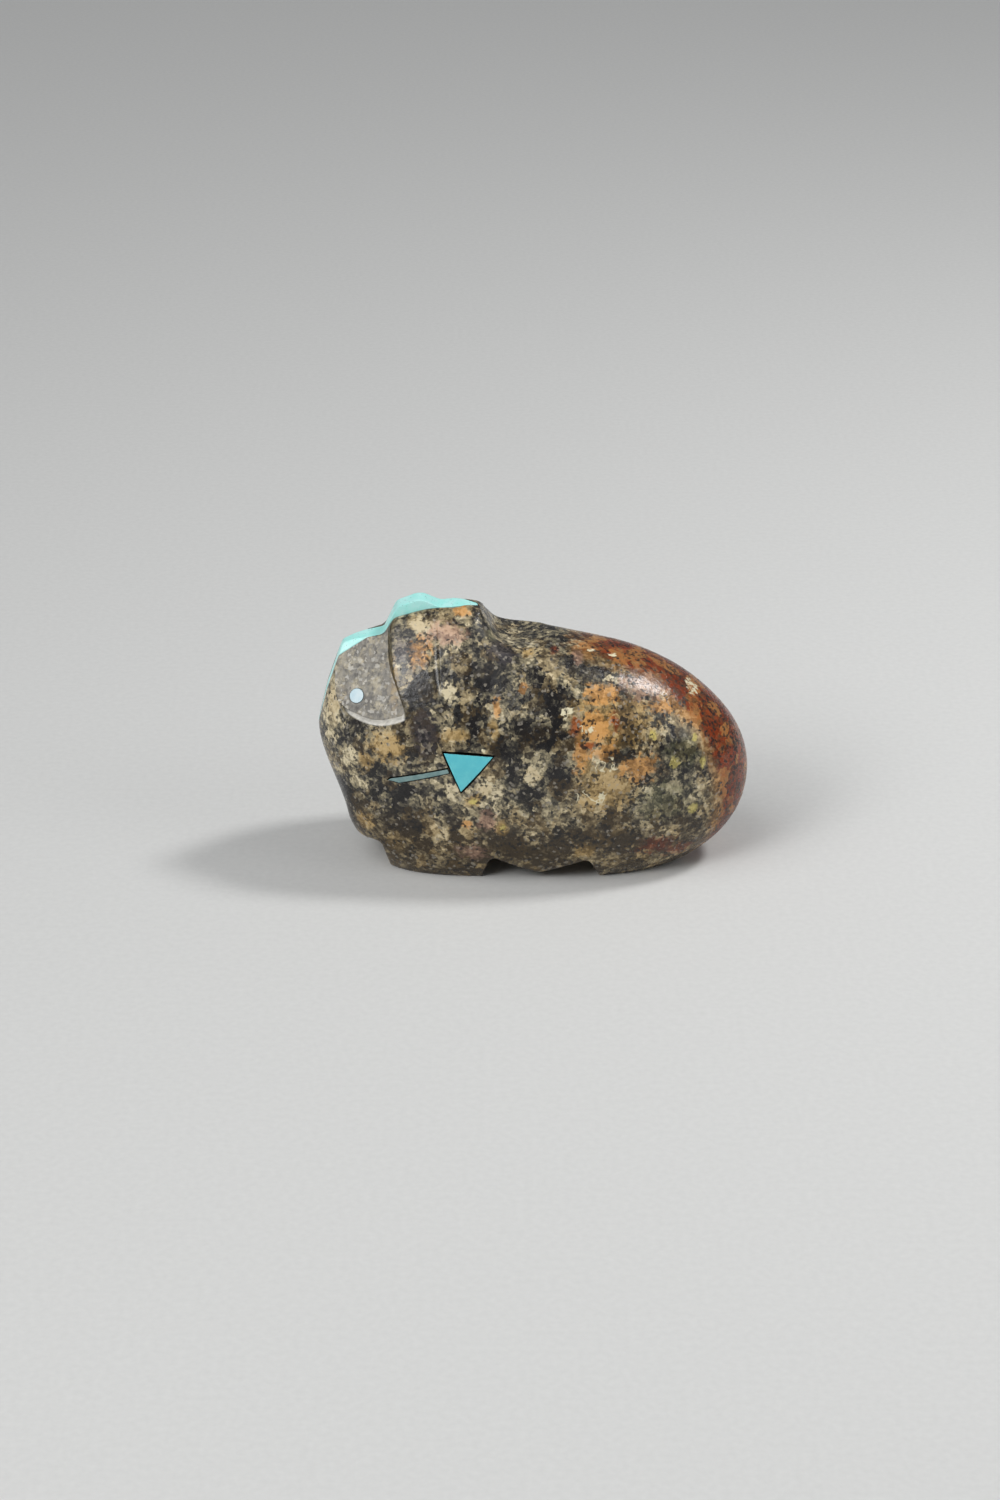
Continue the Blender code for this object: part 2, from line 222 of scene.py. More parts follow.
# %% [markdown]
# The sphere has a radius of one, so each corner's own place says in which direction it lies. That direction
# is turned into a place on the pebble. An icosphere's triangles are nearly equal, and it has no poles.

# %% Draw the sphere out to the pebble
PEBBLE_SUBDIVISIONS = 7


def make_pebble():
    bpy.ops.mesh.primitive_ico_sphere_add(subdivisions=PEBBLE_SUBDIVISIONS, radius=1)
    pebble = bpy.context.object
    pebble.name = pebble.data.name = "granite_bison"
    corners = np.empty(len(pebble.data.vertices) * 3, np.float32)
    pebble.data.vertices.foreach_get("co", corners)
    corners = corners.reshape(-1, 3).astype(float)
    corners /= np.linalg.norm(corners, axis=1)[:, None]
    x = corners[:, 0] * HALF_LENGTH
    height, rise, drop, half_width, upper = section(x)
    around = np.maximum(np.hypot(corners[:, 1], corners[:, 2]), TINY)
    across, up = corners[:, 1] / around, corners[:, 2] / around
    power = 2 / np.where(up > 0, upper, BELLY_POWER)
    y = np.copysign(np.abs(across) ** power, across) * half_width
    z = height + np.copysign(np.abs(up) ** power, up) * np.where(up > 0, rise, drop)
    placed = np.column_stack((x, y, z)) * mm
    pebble.data.vertices.foreach_set("co", placed.astype(np.float32).ravel())
    pebble.data.update()
    return pebble


stone = make_pebble()
print(count(stone))

# %% [markdown]
# ## Cutters drawn as outlines
# A carver works from the side view, and so do the cutters: each is a flat outline, seen from the flank, that
# is extruded through the stone. The outline starts as a filled circle with one corner for each bend. Every
# corner is moved to its place and then rounded with a bevel on the corner alone.

# %% Draw and extrude outlines
CORNER_SEGMENTS = 6
MOST_OF_A_SIDE = 0.48


def draw_outline(name, corners):
    """A flat face in the side view. Corners are (x, z, radius) in mm."""
    bpy.ops.mesh.primitive_circle_add(vertices=len(corners), fill_type="NGON")
    outline = bpy.context.object
    outline.name = name
    places = [Vector((x, 0, z)) * mm for x, z, radius in corners]
    for vertex, place in zip(outline.data.vertices, places):
        vertex.co = place
    for i, (x, z, radius) in enumerate(corners):
        if radius == 0:
            continue
        before = places[i - 1] - places[i]
        after = places[(i + 1) % len(places)] - places[i]
        along = radius * mm / math.tan(before.angle(after) / 2)
        along = min(along, MOST_OF_A_SIDE * before.length, MOST_OF_A_SIDE * after.length)
        edit(outline)
        bpy.ops.mesh.select_all(action="DESELECT")
        close()
        nearest = min(outline.data.vertices, key=lambda vertex: (vertex.co - places[i]).length)
        nearest.select = True
        bpy.ops.object.mode_set(mode="EDIT")
        bpy.ops.mesh.bevel(offset=along, affect="VERTICES", segments=CORNER_SEGMENTS)
        close()
    return outline


def extrude(piece, by):
    """Draws a flat outline out into a solid, by a vector in mm."""
    edit(piece)
    bpy.ops.mesh.extrude_region_move(TRANSFORM_OT_translate={"value": Vector(by) * mm})
    bpy.ops.mesh.select_all(action="SELECT")
    bpy.ops.mesh.normals_make_consistent(inside=False)
    close()


def through(name, corners, half_thickness=25.0):
    """A cutter that goes right through the stone from side to side."""
    cutter = draw_outline(name, corners)
    edit(cutter)
    bpy.ops.transform.translate(value=(0, -half_thickness * mm, 0))
    close()
    extrude(cutter, (0, 2 * half_thickness, 0))
    return cutter


print("outline tools ready")

# %% [markdown]
# ## Carve the head, the hump and the feet
# The crest line falls from the hump to the nose in steps. Under the jaw a notch sets the beard off from the
# feet, and two shallow notches under the belly part the front feet from the rear ones. Last, the underside
# is ground flat so that the animal stands.

# %% Carve the outline
FOREHEAD = ((-35.1, 23.2, 0.0), (-33.55, 29.4, 8.0), (-30.95, 37.0, 1.2))
CROWN = ((-28.9, 37.9, 3.0), (-24.3, 38.9, 1.2))
POLL = ((-22.6, 41.7, 1.5), (-16.4, 43.6, 4.0))
HUMP = ((-11.8, 43.85, 6.0), (-8.8, 43.3, 0.6))
SADDLE = ((-6.2, 38.4, 2.5), (-3.4, 37.6, 4.0), (8.0, 38.4, 0.0))
ABOVE_BACK, ABOVE_NOSE, BEFORE_NOSE = (8.0, 60.0, 0.0), (-45.0, 60.0, 0.0), (-45.0, 23.2, 0.0)
BELLY_ARCH = (
    (-8.5, -3.0, 0.0),
    (-8.3, 0.6, 0.0),
    (-7.0, 4.8, 1.0),
    (0.6, 1.0, 1.8),
    (8.8, 4.5, 1.0),
    (10.5, 0.6, 0.0),
    (10.7, -3.0, 0.0),
)
THROAT = (
    (-23.5, -3.0, 0.0),
    (-23.7, 1.2, 0.0),
    (-24.9, 5.8, 1.0),
    (-28.6, 5.0, 1.0),
    (-31.0, 5.8, 0.0),
    (-40.0, 6.5, 0.0),
    (-40.0, -3.0, 0.0),
)
GROUND = ((-45.0, 0.0, 0.0), (45.0, 0.0, 0.0), (45.0, -20.0, 0.0), (-45.0, -20.0, 0.0))
above_crest = (BEFORE_NOSE, *FOREHEAD, *CROWN, *POLL, *HUMP, *SADDLE, ABOVE_BACK, ABOVE_NOSE)
for name, corners in (("above", above_crest), ("throat", THROAT), ("belly", BELLY_ARCH), ("ground", GROUND)):
    cut(stone, through(name, corners))
print(count(stone))

# %% [markdown]
# ## Soften the outline, as polishing does
# A tumbled and hand-polished stone has no sharp corner. The voxel remesh rebuilds the whole skin in small
# even squares, and a few rounds of smoothing then wear the edges down a little, while the wide curves stay.
# The finer cuts come after this, because they are crisp on the real stone too.

# %% Remesh and polish
SKIN_SQUARE = 0.335
POLISH_ROUNDS = 3
POLISH_STRENGTH = 0.5
modify(stone, "REMESH", mode="VOXEL", voxel_size=SKIN_SQUARE * mm)
modify(stone, "SMOOTH", factor=POLISH_STRENGTH, iterations=POLISH_ROUNDS)

# The cut behind the hump runs out on the back, where the stone is rubbed down until no edge is left. Beside
# the hump its edge is softened, more on the left flank. Each rub has its reach in mm and its rounds.
BACK_RUB = {"x": (1.0, 13.0), "y": (-20.0, 20.0), "z": (34.0, 50.0)}, 80
SADDLE_RUB = {"x": (-10.5, 1.0), "y": (-20.0, 20.0), "z": (31.0, 42.2)}, 20
LEFT_RUB = {"x": (-11.0, 2.0), "y": (-20.0, -2.5), "z": (30.0, 42.6)}, 70


def rub_down(piece, reach, rounds):
    """Smooths the part of a piece that lies within this reach."""
    edit(piece)
    bpy.ops.mesh.select_all(action="DESELECT")
    drawn = bmesh.from_edit_mesh(piece.data)
    for vertex in drawn.verts:
        place = vertex.co / mm
        vertex.select = all(low < getattr(place, axis) < high for axis, (low, high) in reach.items())
    drawn.select_flush(True)
    bmesh.update_edit_mesh(piece.data)
    bpy.ops.mesh.vertices_smooth(factor=POLISH_STRENGTH, repeat=rounds)
    close()


for reach, rounds in (BACK_RUB, SADDLE_RUB, LEFT_RUB):
    rub_down(stone, reach, rounds)
print(count(stone))

# %% [markdown]
# ## The flat beside the forehead, and the groove behind the horn
# Each side of the head has a flat where the eye sits. Its cutter starts as an outline that is laid on the
# plane of the flat, and is then extruded outwards with a lean, which leaves a ledge below and a step
# behind. The groove's cutter is a thin rod that follows the flank and sinks in a little. A mirror makes the
# other side.

# %% Cut the flats and the grooves
FLAT_POINT = Vector((-27.0, -1.9, 38.2))
FLAT_NORMAL = Vector((-0.35, -0.78, 0.52)).normalized()
RIGHT_FLAT_NORMAL = FLAT_NORMAL * Vector((1, -1, 1))
FLAT_OUTLINE = (
    (-23.6, 41.5, 0.0),
    (-23.5, 35.2, 8.0),
    (-20.6, 28.7, 0.8),
    (-25.6, 27.0, 7.0),
    (-31.0, 28.3, 4.0),
    (-35.0, 33.0, 0.0),
    (-42.0, 36.0, 0.0),
    (-40.0, 50.0, 0.0),
    (-24.0, 50.0, 0.0),
)
# How far the flat's cutter is drawn out, in mm: outwards to the left, and leaning back and down
FLAT_CUT = (5.0, -20.0, -2.0)
# The groove's course from top to bottom, as (x, z) in mm
GROOVE_LINE = np.array(((-16.4, 43.2), (-16.3, 40.0), (-16.1, 37.0), (-15.8, 34.5), (-15.2, 32.0)))
# The groove's depth follows half a wave, which starts this far along
GROOVE_RADIUS, GROOVE_DEPTH, GROOVE_START = 1.1, 0.5, 0.12
GROOVE_SEGMENTS, GROOVE_SIDES = 12, 20


def on_flat(x, z):
    """The point of the flat that shows at (x, z) in the side view, in mm."""
    along = FLAT_NORMAL.x * (x - FLAT_POINT.x) + FLAT_NORMAL.z * (z - FLAT_POINT.z)
    return Vector((x, FLAT_POINT.y - along / FLAT_NORMAL.y, z))


def flat_cutter():
    cutter = draw_outline("flat", FLAT_OUTLINE)
    for vertex in cutter.data.vertices:
        vertex.co = on_flat(vertex.co.x / mm, vertex.co.z / mm) * mm
    extrude(cutter, FLAT_CUT)
    return cutter


def groove_cutter():
    steps = np.linspace(0, 1, GROOVE_SEGMENTS + 1)
    knots = np.linspace(0, 1, len(GROOVE_LINE))
    x = np.interp(steps, knots, GROOVE_LINE[:, 0])
    z = np.interp(steps, knots, GROOVE_LINE[:, 1])
    sink = GROOVE_DEPTH * np.sin(np.pi * (GROOVE_START + (1 - GROOVE_START) * steps))
    y = -flank(x, z) - GROOVE_RADIUS + sink
    line = [Vector(point) * mm for point in zip(x, y, z)]
    bpy.ops.mesh.primitive_circle_add(vertices=GROOVE_SIDES, radius=GROOVE_RADIUS * mm, fill_type="NGON")
    rod = bpy.context.object
    edit(rod)
    bpy.ops.transform.translate(value=line[0])
    for start, end in zip(line, line[1:]):
        bpy.ops.mesh.extrude_region_move(TRANSFORM_OT_translate={"value": end - start})
    bpy.ops.mesh.select_all(action="SELECT")
    bpy.ops.mesh.normals_make_consistent(inside=False)
    close()
    return rod


for cutter in (flat_cutter(), groove_cutter()):
    modify(cutter, "MIRROR", use_axis=(False, True, False), use_mirror_merge=False)
    cut(stone, cutter)
print(count(stone))

# %% [markdown]
# ## The inlays and their sockets
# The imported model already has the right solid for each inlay, so a copy of it is the start. A fine remesh and
# a little smoothing round its edges as grinding does. The same solid, grown a little, cuts the socket, which
# leaves a thin line all round. On the real piece that line is filled with dark glue, so the cutter carries
# the glue's material, and the Boolean hands it on to the walls that it cuts. The line shows best round the
# heartline, whose sockets grow most and sit a little high.

# %% Make the inlays and let them into the stone
UPWARDS, LEFTWARDS = Vector((0.0, 0.0, 1.0)), Vector((0.0, -1.0, 0.0))
CENTRED, ARROW_SHIFT, SHAFT_SHIFT = Vector(), Vector((0.03, 0.0, 0.08)), Vector((0.0, 0.0, 0.06))
# For each inlay: the size of its skin's squares and how far its socket's corners grow, both in mm, the way
# the socket opens, and how far it is shifted in mm
INLAYS = {
    "crest_inlay": (0.1, 0.1, UPWARDS, CENTRED),
    "eye_left": (0.05, 0.1, FLAT_NORMAL, CENTRED),
    "eye_right": (0.05, 0.1, RIGHT_FLAT_NORMAL, CENTRED),
    "heartline_arrowhead": (0.07, 0.5, LEFTWARDS, ARROW_SHIFT),
    "heartline_shaft": (0.06, 0.26, LEFTWARDS, SHAFT_SHIFT),
}
INLAY_POLISH = 4
# How far a socket's cutter reaches past the skin, and how near two corners are joined, in mm
OUTWARDS = 0.6
JOINED_WITHIN = 0.001
glue = bpy.data.materials.new("dark_glue")
granite = bpy.data.materials.new("speckled_granite")
stone.data.materials.clear()
stone.data.materials.append(granite)


def copy_of_node(node, name):
    """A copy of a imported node's mesh with its loose triangles joined."""
    piece = bpy.data.objects.new(name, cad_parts[node].data.copy())
    bpy.context.scene.collection.objects.link(piece)
    piece.data.materials.clear()
    edit(piece)
    bpy.ops.mesh.remove_doubles(threshold=JOINED_WITHIN * mm)
    close()
    return piece


def cut_socket(node, growth, opening, shift):
    """Cuts out the grown inlay, its outer face drawn outwards so that no skin of stone is left above it."""
    cutter = copy_of_node(node, "socket")
    cutter.data.materials.append(glue)
    modify(cutter, "DISPLACE", strength=growth * mm, mid_level=0.0)
    edit(cutter)
    bpy.ops.transform.translate(value=shift * mm)
    close()
    select_facing(cutter, opening)
    bpy.ops.transform.translate(value=opening * OUTWARDS * mm)
    close()
    cut(stone, cutter)


inlays = {}
for node, (square, growth, opening, shift) in INLAYS.items():
    cut_socket(node, growth, opening, shift)
    inlay = copy_of_node(node, "set_" + node)
    modify(inlay, "REMESH", mode="VOXEL", voxel_size=square * mm)
    modify(inlay, "SMOOTH", factor=POLISH_STRENGTH, iterations=INLAY_POLISH)
    inlays[node] = inlay
    print(count(inlay))
print(count(stone))

# %% [markdown]
# ## Shader maths as plain sums
# A finish is a tree of nodes, and most of them only add or multiply. The class below wraps a socket, so that
# a sum written in Python adds its Math nodes by itself. Colours and vectors go through Mix and Vector Math
# nodes, because a Math node would turn a colour grey. Every other node comes from one method.

# %% The finish maker
NOISE_ROUGHNESS = 0.6
# The Mix node's sockets for colours: two inputs and one output
MIX_FIRST, MIX_SECOND, MIX_RESULT = 6, 7, 2


class Signal:
    """A socket whose value varies over the surface."""

    def __init__(self, finish, socket):
        self.finish = finish
        self.socket = socket

    def __add__(self, other):
        return self.finish.maths("ADD", self, other)

    __radd__ = __add__

    def __mul__(self, other):
        return self.finish.maths("MULTIPLY", self, other)

    __rmul__ = __mul__

    def __sub__(self, other):
        return self.finish.maths("SUBTRACT", self, other)

    def __rsub__(self, other):
        return self.finish.maths("SUBTRACT", other, self)


class Finish:
    """A material that is built up node by node, and its shader."""

    def __init__(self, material):
        self.material = material
        material.use_nodes = True
        self.tree = material.node_tree
        self.shader = self.tree.nodes["Principled BSDF"]

    def feed(self, socket, value):
        if isinstance(value, Signal):
            self.tree.links.new(value.socket, socket)
        else:
            socket.default_value = value

    def node(self, kind, settings, sockets, output=0):
        """Adds a node, sets it up, feeds its sockets by name or number, and gives back one output."""
        made = self.tree.nodes.new(kind)
        for name, value in settings.items():
            if name == "stops":
                self.set_stops(made.color_ramp.elements, value)
            else:
                setattr(made, name, value)
        for name, value in sockets.items():
            self.feed(made.inputs[name], value)
        return Signal(self, made.outputs[output])

    def set_stops(self, elements, stops):
        while len(elements) < len(stops):
            elements.new(1.0)
        for element, (place, colour) in zip(elements, stops):
            element.position = place
            element.color = colour

    def maths(self, operation, first, second):
        return self.node("ShaderNodeMath", {"operation": operation}, {0: first, 1: second})

    def vector(self, operation, first, second):
        return self.node("ShaderNodeVectorMath", {"operation": operation}, {0: first, 1: second})

    def mix(self, share, first, second, blend="MIX"):
        """A colour that goes from first to second."""
        settings = {"data_type": "RGBA", "blend_type": blend, "clamp_factor": True}
        sockets = {0: share, MIX_FIRST: first, MIX_SECOND: second}
        return self.node("ShaderNodeMix", settings, sockets, MIX_RESULT)

    def place_in_mm(self):
        place = self.node("ShaderNodeTexCoord", {}, {}, "Object")
        return self.node("ShaderNodeVectorMath", {"operation": "SCALE"}, {0: place, "Scale": 1 / mm})

    def part(self, vector, axis):
        """One of a vector's three numbers."""
        return self.node("ShaderNodeSeparateXYZ", {}, {0: vector}, axis)

    def noise(self, place, size, detail, output="Fac"):
        """Noise whose clouds are about this size in mm."""
        sockets = {"Vector": place, "Scale": 1 / size, "Detail": detail, "Roughness": NOISE_ROUGHNESS}
        return self.node("ShaderNodeTexNoise", {}, sockets, output)

    def rise(self, value, start, end, low=0.0, high=1.0):
        """Goes smoothly from low to high as value goes from start to end."""
        sockets = {"Value": value, "From Min": start, "From Max": end, "To Min": low, "To Max": high}
        return self.node("ShaderNodeMapRange", {"interpolation_type": "SMOOTHSTEP"}, sockets)

    def set(self, **values):
        """Feeds the shader's own sockets; underscores in a name stand for spaces."""
        for name, value in values.items():
            self.feed(self.shader.inputs[name.replace("_", " ")], value)


def paint(red, green, blue):
    """A colour as the screen gives it, from 0 to 255, turned into the shader's linear one."""
    screen = np.array((red, green, blue)) / 255
    linear = np.where(screen < 0.04045, screen / 12.92, ((screen + 0.055) / 1.055) ** 2.4)
    return (*(float(value) for value in linear), 1.0)


print("finish maker ready")

# %% [markdown]
# ## Where each mineral lies
# Granite is a solid mix, so its pattern is made in three dimensions and read off at the surface. The small
# grains are left to chance. The large crystals and stains of the left flank are placed one by one: each is a
# soft ball in the stone, given by its place in the side view and its reach along and up.

# %% Name the minerals and their places
# Some patches are painted light: part of the chin's dark is shade, part of the rump's pink is sheen, and one
# cream patch and three chips are glints
# (x, z, reach along, reach up) in mm, on the left flank
# Cream crystals. The one beside the arrowhead's top is a painted glint
CREAM_AND_GLINT = (
    (-32.8, 27.0, 2.4, 4.8),
    (-27.3, 8.6, 1.7, 1.6),
    (-29.9, 20.4, 1.9, 1.8),
    (-28.6, 16.4, 2.2, 1.6),
    (-17.5, 41.4, 3.2, 1.3),
    (-10.6, 42.3, 2.0, 1.2),
    (-13.9, 33.1, 1.4, 1.8),
    (-0.1, 20.9, 2.3, 2.1),
    (-6.6, 18.3, 2.3, 2.2),
    (-15.3, 8.9, 1.4, 3.6),
    (-13.2, 17.2, 1.3, 1.4),
    (9.5, 16.4, 2.3, 1.1),
    (8.3, 27.9, 0.8, 0.7),
    (10.4, 27.1, 1.9, 1.5),
    (-7.9, 24.2, 0.7, 0.5),
    (12.5, 18.6, 1.2, 1.0),
    (-24.0, 24.2, 2.8, 1.8),
    (-14.0, 39.8, 2.8, 2.4),
)
# Dark patches. The first, on the chin, is partly dark stone and partly painted shade
DARK_AND_SHADE = (
    (-31.0, 12.0, 2.6, 5.0),
    (-28.5, 8.0, 2.6, 1.6),
    (-22.1, 14.7, 4.6, 3.4),
    (-20.0, 10.0, 2.6, 3.0),
    (-18.6, 32.2, 2.3, 2.6),
    (-17.5, 26.8, 2.3, 4.0),
    (-10.0, 29.6, 3.0, 2.1),
    (-8.7, 34.6, 3.9, 2.6),
    (-5.0, 38.4, 2.5, 2.0),
    (3.3, 32.0, 3.6, 3.0),
    (1.0, 27.0, 4.5, 2.5),
    (-4.0, 24.5, 3.0, 2.5),
    (4.1, 19.7, 2.3, 4.3),
    (-0.4, 16.2, 2.6, 2.2),
    (-12.6, 9.1, 0.8, 2.0),
    (14.6, 29.6, 1.6, 3.7),
    (12.8, 23.5, 2.0, 1.0),
    (15.2, 26.3, 2.3, 2.0),
    (11.9, 11.4, 1.3, 1.9),
    (-3.6, 7.6, 3.6, 2.5),
    (14.0, 8.0, 5.0, 2.5),
    (5.0, 9.0, 3.0, 2.5),
    (32.7, 20.7, 1.3, 2.6),
)
OCHRE = (
    (-23.8, 23.6, 3.9, 3.0),
    (-27.0, 20.8, 1.6, 1.7),
    (-12.7, 26.6, 2.6, 1.4),
    (-9.7, 15.8, 1.5, 1.3),
    (-5.2, 10.9, 1.3, 1.4),
    (8.0, 22.2, 1.2, 2.2),
    (11.8, 18.0, 5.5, 4.6),
    (13.0, 28.5, 8.5, 5.0),
    (-6.5, 27.8, 1.0, 2.0),
    (8.2, 6.6, 2.0, 1.8),
    (-27.3, 9.0, 2.0, 2.2),
    (-1.0, 37.8, 1.0, 0.8),
    (-22.5, 33.0, 0.8, 5.0),
)
YELLOW = (
    (22.6, 21.3, 1.2, 1.1),
    (27.2, 20.3, 0.7, 1.2),
    (25.7, 12.7, 1.1, 1.1),
    (19.0, 25.9, 1.0, 0.8),
    (25.8, 24.3, 0.7, 0.7),
    (-9.9, 15.6, 0.8, 0.7),
    (-5.0, 11.0, 0.7, 0.7),
)
ORANGE = (
    (-18.3, 38.0, 2.0, 2.4),
    (-1.8, 33.6, 0.8, 1.0),
    (-6.0, 30.7, 0.8, 1.8),
    (-11.0, 11.3, 1.0, 1.1),
    (9.8, 36.8, 4.3, 1.1),
    (10.9, 32.2, 3.4, 2.0),
    (20.6, 29.5, 3.6, 1.4),
    (27.8, 26.8, 1.4, 1.4),
    (16.8, 21.0, 3.6, 2.6),
    (11.0, 24.0, 2.6, 1.6),
    (-11.6, 43.1, 1.6, 0.8),
    (9.5, 27.8, 3.9, 3.0),
    (7.2, 24.5, 1.5, 4.5),
)
# Pinkish grey patches. The first, where the rump's highlight falls, is partly pinkish stone and partly painted
# sheen
PINK_AND_SHEEN = (
    (17.8, 32.6, 5.4, 2.6),
    (7.0, 36.5, 1.1, 0.9),
    (-14.0, 40.6, 3.4, 2.0),
    (-10.0, 5.8, 3.0, 1.8),
    (-7.6, 11.9, 1.6, 2.3),
)
RUST = (
    (6.5, 28.0, 1.1, 2.2),
    (8.6, 25.2, 2.2, 0.6),
    (12.9, 28.2, 0.7, 1.9),
    (3.3, 37.5, 0.9, 0.4),
    (19.6, 6.6, 3.9, 2.1),
    (23.5, 5.0, 3.0, 1.5),
)
GREY_GREEN = ((11.5, 35.8, 2.2, 1.0), (24.7, 22.7, 4.4, 2.6), (20.5, 15.1, 4.9, 3.6), (-6.0, 40.0, 2.5, 1.5))
PURPLE = ((-21.5, 37.9, 1.3, 2.0), (-17.5, 26.8, 2.3, 4.0), (14.6, 29.0, 2.0, 4.2), (-5.0, 38.4, 2.5, 2.0))
# Chipped places that look almost white. The two along the top and the one by the arrowhead's top are
# painted glints.
CHIPS_AND_GLINTS = (
    (25.6, 30.1, 1.2, 1.9),
    (12.7, 35.9, 1.4, 0.3),
    (9.4, 36.7, 1.2, 0.25),
    (5.3, 30.3, 1.3, 0.6),
    (8.8, 27.5, 1.0, 0.7),
    (-8.2, 24.3, 0.6, 0.35),
)
# Where the stone was carved and left less polished
MATT = ((-7.0, 39.0, 4.5, 6.5),)
# Where thin white veins run
VEINED = ((11.9, 22.0, 3.6, 1.4), (9.0, 16.6, 3.2, 1.6), (5.6, 30.0, 1.7, 1.1), (8.4, 27.9, 1.6, 0.9))
spots = (CREAM_AND_GLINT, DARK_AND_SHADE, OCHRE, YELLOW, ORANGE, PINK_AND_SHEEN, RUST, GREY_GREEN, PURPLE, CHIPS_AND_GLINTS, MATT, VEINED)
print("crystals and stains placed:", sum(len(group) for group in spots))

# %% [markdown]
# ## The granite
# The finish is layered as the stone is. Large crystals and small grains both come from Voronoi cells whose
# borders are bent by noise, and together they pick a mineral from a ramp. The placed patches then push that
# pick towards dark or pale, or tint it, and the lower body is pushed darker as painted shade. Towards the
# rump the stone turns orange, and a rust-red rind lies on it where weather reached the stone. Black mica,
# painted glints, white veins and chips lie over the rest, and a few of the chips are painted glints too. The
# flat on the head is painted paler, partly as sheen, with a painted highlight on its ledge and painted shade
# on the step behind it. Gloss and a fine bump follow the same grains.

# %% Build the granite
# The ramp's places and colours, from black mica to pale feldspar
STONE_COLOURS = (
    (0.18, paint(28, 26, 26)),
    (0.30, paint(54, 51, 46)),
    (0.41, paint(90, 85, 72)),
    (0.51, paint(130, 121, 98)),
    (0.63, paint(172, 159, 128)),
    (0.78, paint(220, 206, 172)),
)
OCHRE_PAINT = paint(178, 144, 84)
YELLOW_PAINT = paint(206, 190, 108)
ORANGE_PAINT = paint(208, 150, 84)
# Pinkish grey, which on the rump's highlight is partly painted sheen
PINK_AND_SHEEN_PAINT = paint(190, 150, 128)
RUST_PAINT = paint(138, 52, 14)
DEEP_RUST_PAINT = paint(56, 20, 10)
GREY_GREEN_PAINT = paint(126, 126, 92)
PURPLE_PAINT = paint(128, 118, 122)
MICA_PAINT = paint(20, 18, 19)
# Painted glints of light among the mica
GLINT_HIGHLIGHT_PAINT = paint(168, 160, 146)
# White for the veins, the chips, and the painted glints among the chips
VEIN_CHIP_AND_GLINT_PAINT = paint(232, 222, 188)
# The flat's paler colour, partly ground stone and partly painted sheen
FLAT_AND_SHEEN_PAINT = paint(146, 141, 131)
# A painted highlight, for the ledge below the flat and for the glitter on the flat
HIGHLIGHT_PAINT = paint(232, 228, 218)
# Painted shade for the step behind the flat
STEP_SHADE_PAINT = paint(58, 50, 32)
# Cells: their size in mm, how far their borders are bent, and how wide the bends are
CRYSTALS, GRAINS, FLECKS = (2.6, 2.6, 1.6), (1.0, 1.1, 0.7), (0.45, 0.45, 0.35)
# Clouds of noise: their size in mm and their detail
SMEAR, CLUSTER, DRIFT, STREAK = (0.8, 3.5), (2.4, 2.0), (8.0, 2.0), (0.7, 3.0)
BEND_DETAIL = 3.0
# How much each of them says when a mineral is picked
CRYSTAL_SHARE, GRAIN_SHARE, FLECK_SHARE, SMEAR_SHARE, DRIFT_SHARE = 0.3, 0.34, 0.18, 0.6, 0.3
PICK_DROP = 0.13
# How far the patches push the pick; the push below darkens the lower body as painted shade
PALE_PUSH, DARK_AND_SHADE_PUSH, SHADE_BELOW_PUSH, WARM_PUSH = 0.32, 0.25, 0.11, 0.09
# How strongly each stain colours the stone
WARM_STAIN, LOW_STAIN, GREEN_STAIN, PURPLE_STAIN, OCHRE_STAIN = 0.25, 0.25, 0.5, 0.5, 0.7
ORANGE_STAIN, PINK_AND_SHEEN_STAIN, RUST_STAIN, YELLOW_STAIN = 0.8, 0.7, 0.75, 0.8
# The middle and the reach in mm of the rounded form that the rind lies outside of
RIND_X, RIND_Z = -5.0, 12.0
RIND_ALONG, RIND_UP, RIND_SIDE = 34.0, 28.0, 16.0
MICA_DARKNESS, GLINT_HIGHLIGHT_BRIGHTNESS, VEIN_BRIGHTNESS = 0.85, 0.5, 0.9
# The ledge below the flat, with a painted highlight, follows this curve, in mm in the side view
LEDGE_X, LEDGE_Z, LEDGE_CURVE = -26.0, 27.5, 0.05
# The step behind the flat, where shade is painted, starts at this x at this height,
# and leans by this much below it
STEP_X, STEP_Z, STEP_LEAN = -23.7, 35.5, 0.43
BUMP_STRENGTH, BUMP_HEIGHT = 0.65, 0.12
STONE_IOR = 1.46


def grains(rock, place, size, bend, bend_size):
    """Voronoi cells of this size in mm with bent borders. Gives three random numbers for each cell."""
    push = rock.vector("SUBTRACT", rock.noise(place, bend_size, BEND_DETAIL, "Color"), (0.5, 0.5, 0.5))
    bent = rock.vector("ADD", place, rock.vector("MULTIPLY", push, (bend, bend, bend)))
    cells = rock.node("ShaderNodeTexVoronoi", {}, {"Vector": bent, "Scale": 1 / size}, "Color")
    return [rock.part(cells, axis) for axis in "XYZ"]


# How much further a patch reaches into the stone than up, in mm
EXTRA_DEPTH = 1.5


def nearness(rock, place, group, extra_depth=EXTRA_DEPTH):
    """One at the middle of the nearest patch of a group, and falling through nought beyond its rim."""
    distance = None
    for x, z, along, up in group:
        away = rock.vector("SUBTRACT", place, (x, -float(flank(x, z)), z))
        away = rock.vector("MULTIPLY", away, (1 / along, 1 / (up + extra_depth), 1 / up))
        reach = rock.node("ShaderNodeVectorMath", {"operation": "LENGTH"}, {0: away}, "Value")
        distance = reach if distance is None else rock.maths("MINIMUM", distance, reach)
    return 1.0 - distance


